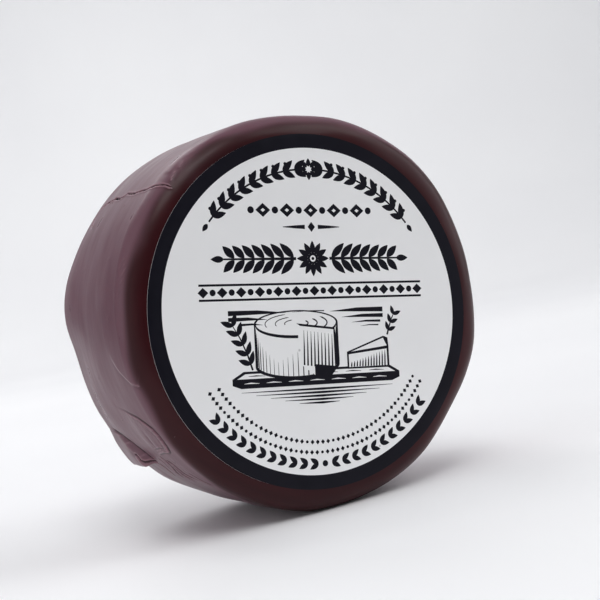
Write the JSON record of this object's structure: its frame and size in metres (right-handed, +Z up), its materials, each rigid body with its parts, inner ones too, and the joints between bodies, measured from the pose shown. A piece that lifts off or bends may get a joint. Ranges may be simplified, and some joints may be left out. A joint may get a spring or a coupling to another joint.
{
  "type": "waxed cheese truckle with a round paper label, standing on its rim",
  "caption": "Small round-shouldered truckle of cheddar in dark red wax, standing on its rim, with a round white paper label bordered in black on its front face.",
  "frame": {"origin": "middle of the small flat on the rim that it stands on", "axes": "+Z up from the standing flat; the drum's axis is parallel to Y, with the labelled face towards -Y and the back face towards +Y; +X is to the right of a person looking at the label"},
  "size_m": [0.0815, 0.041, 0.0806],
  "materials": {
    "wax": "dark red cheese wax, glossy with a soft bloom, hand-dipped",
    "label_paper": "white coated paper with a satin surface, printed in black"
  },
  "bodies": {
    "root": {"waxed_truckle": "wax", "label": "label_paper"}
  },
  "joints": []
}
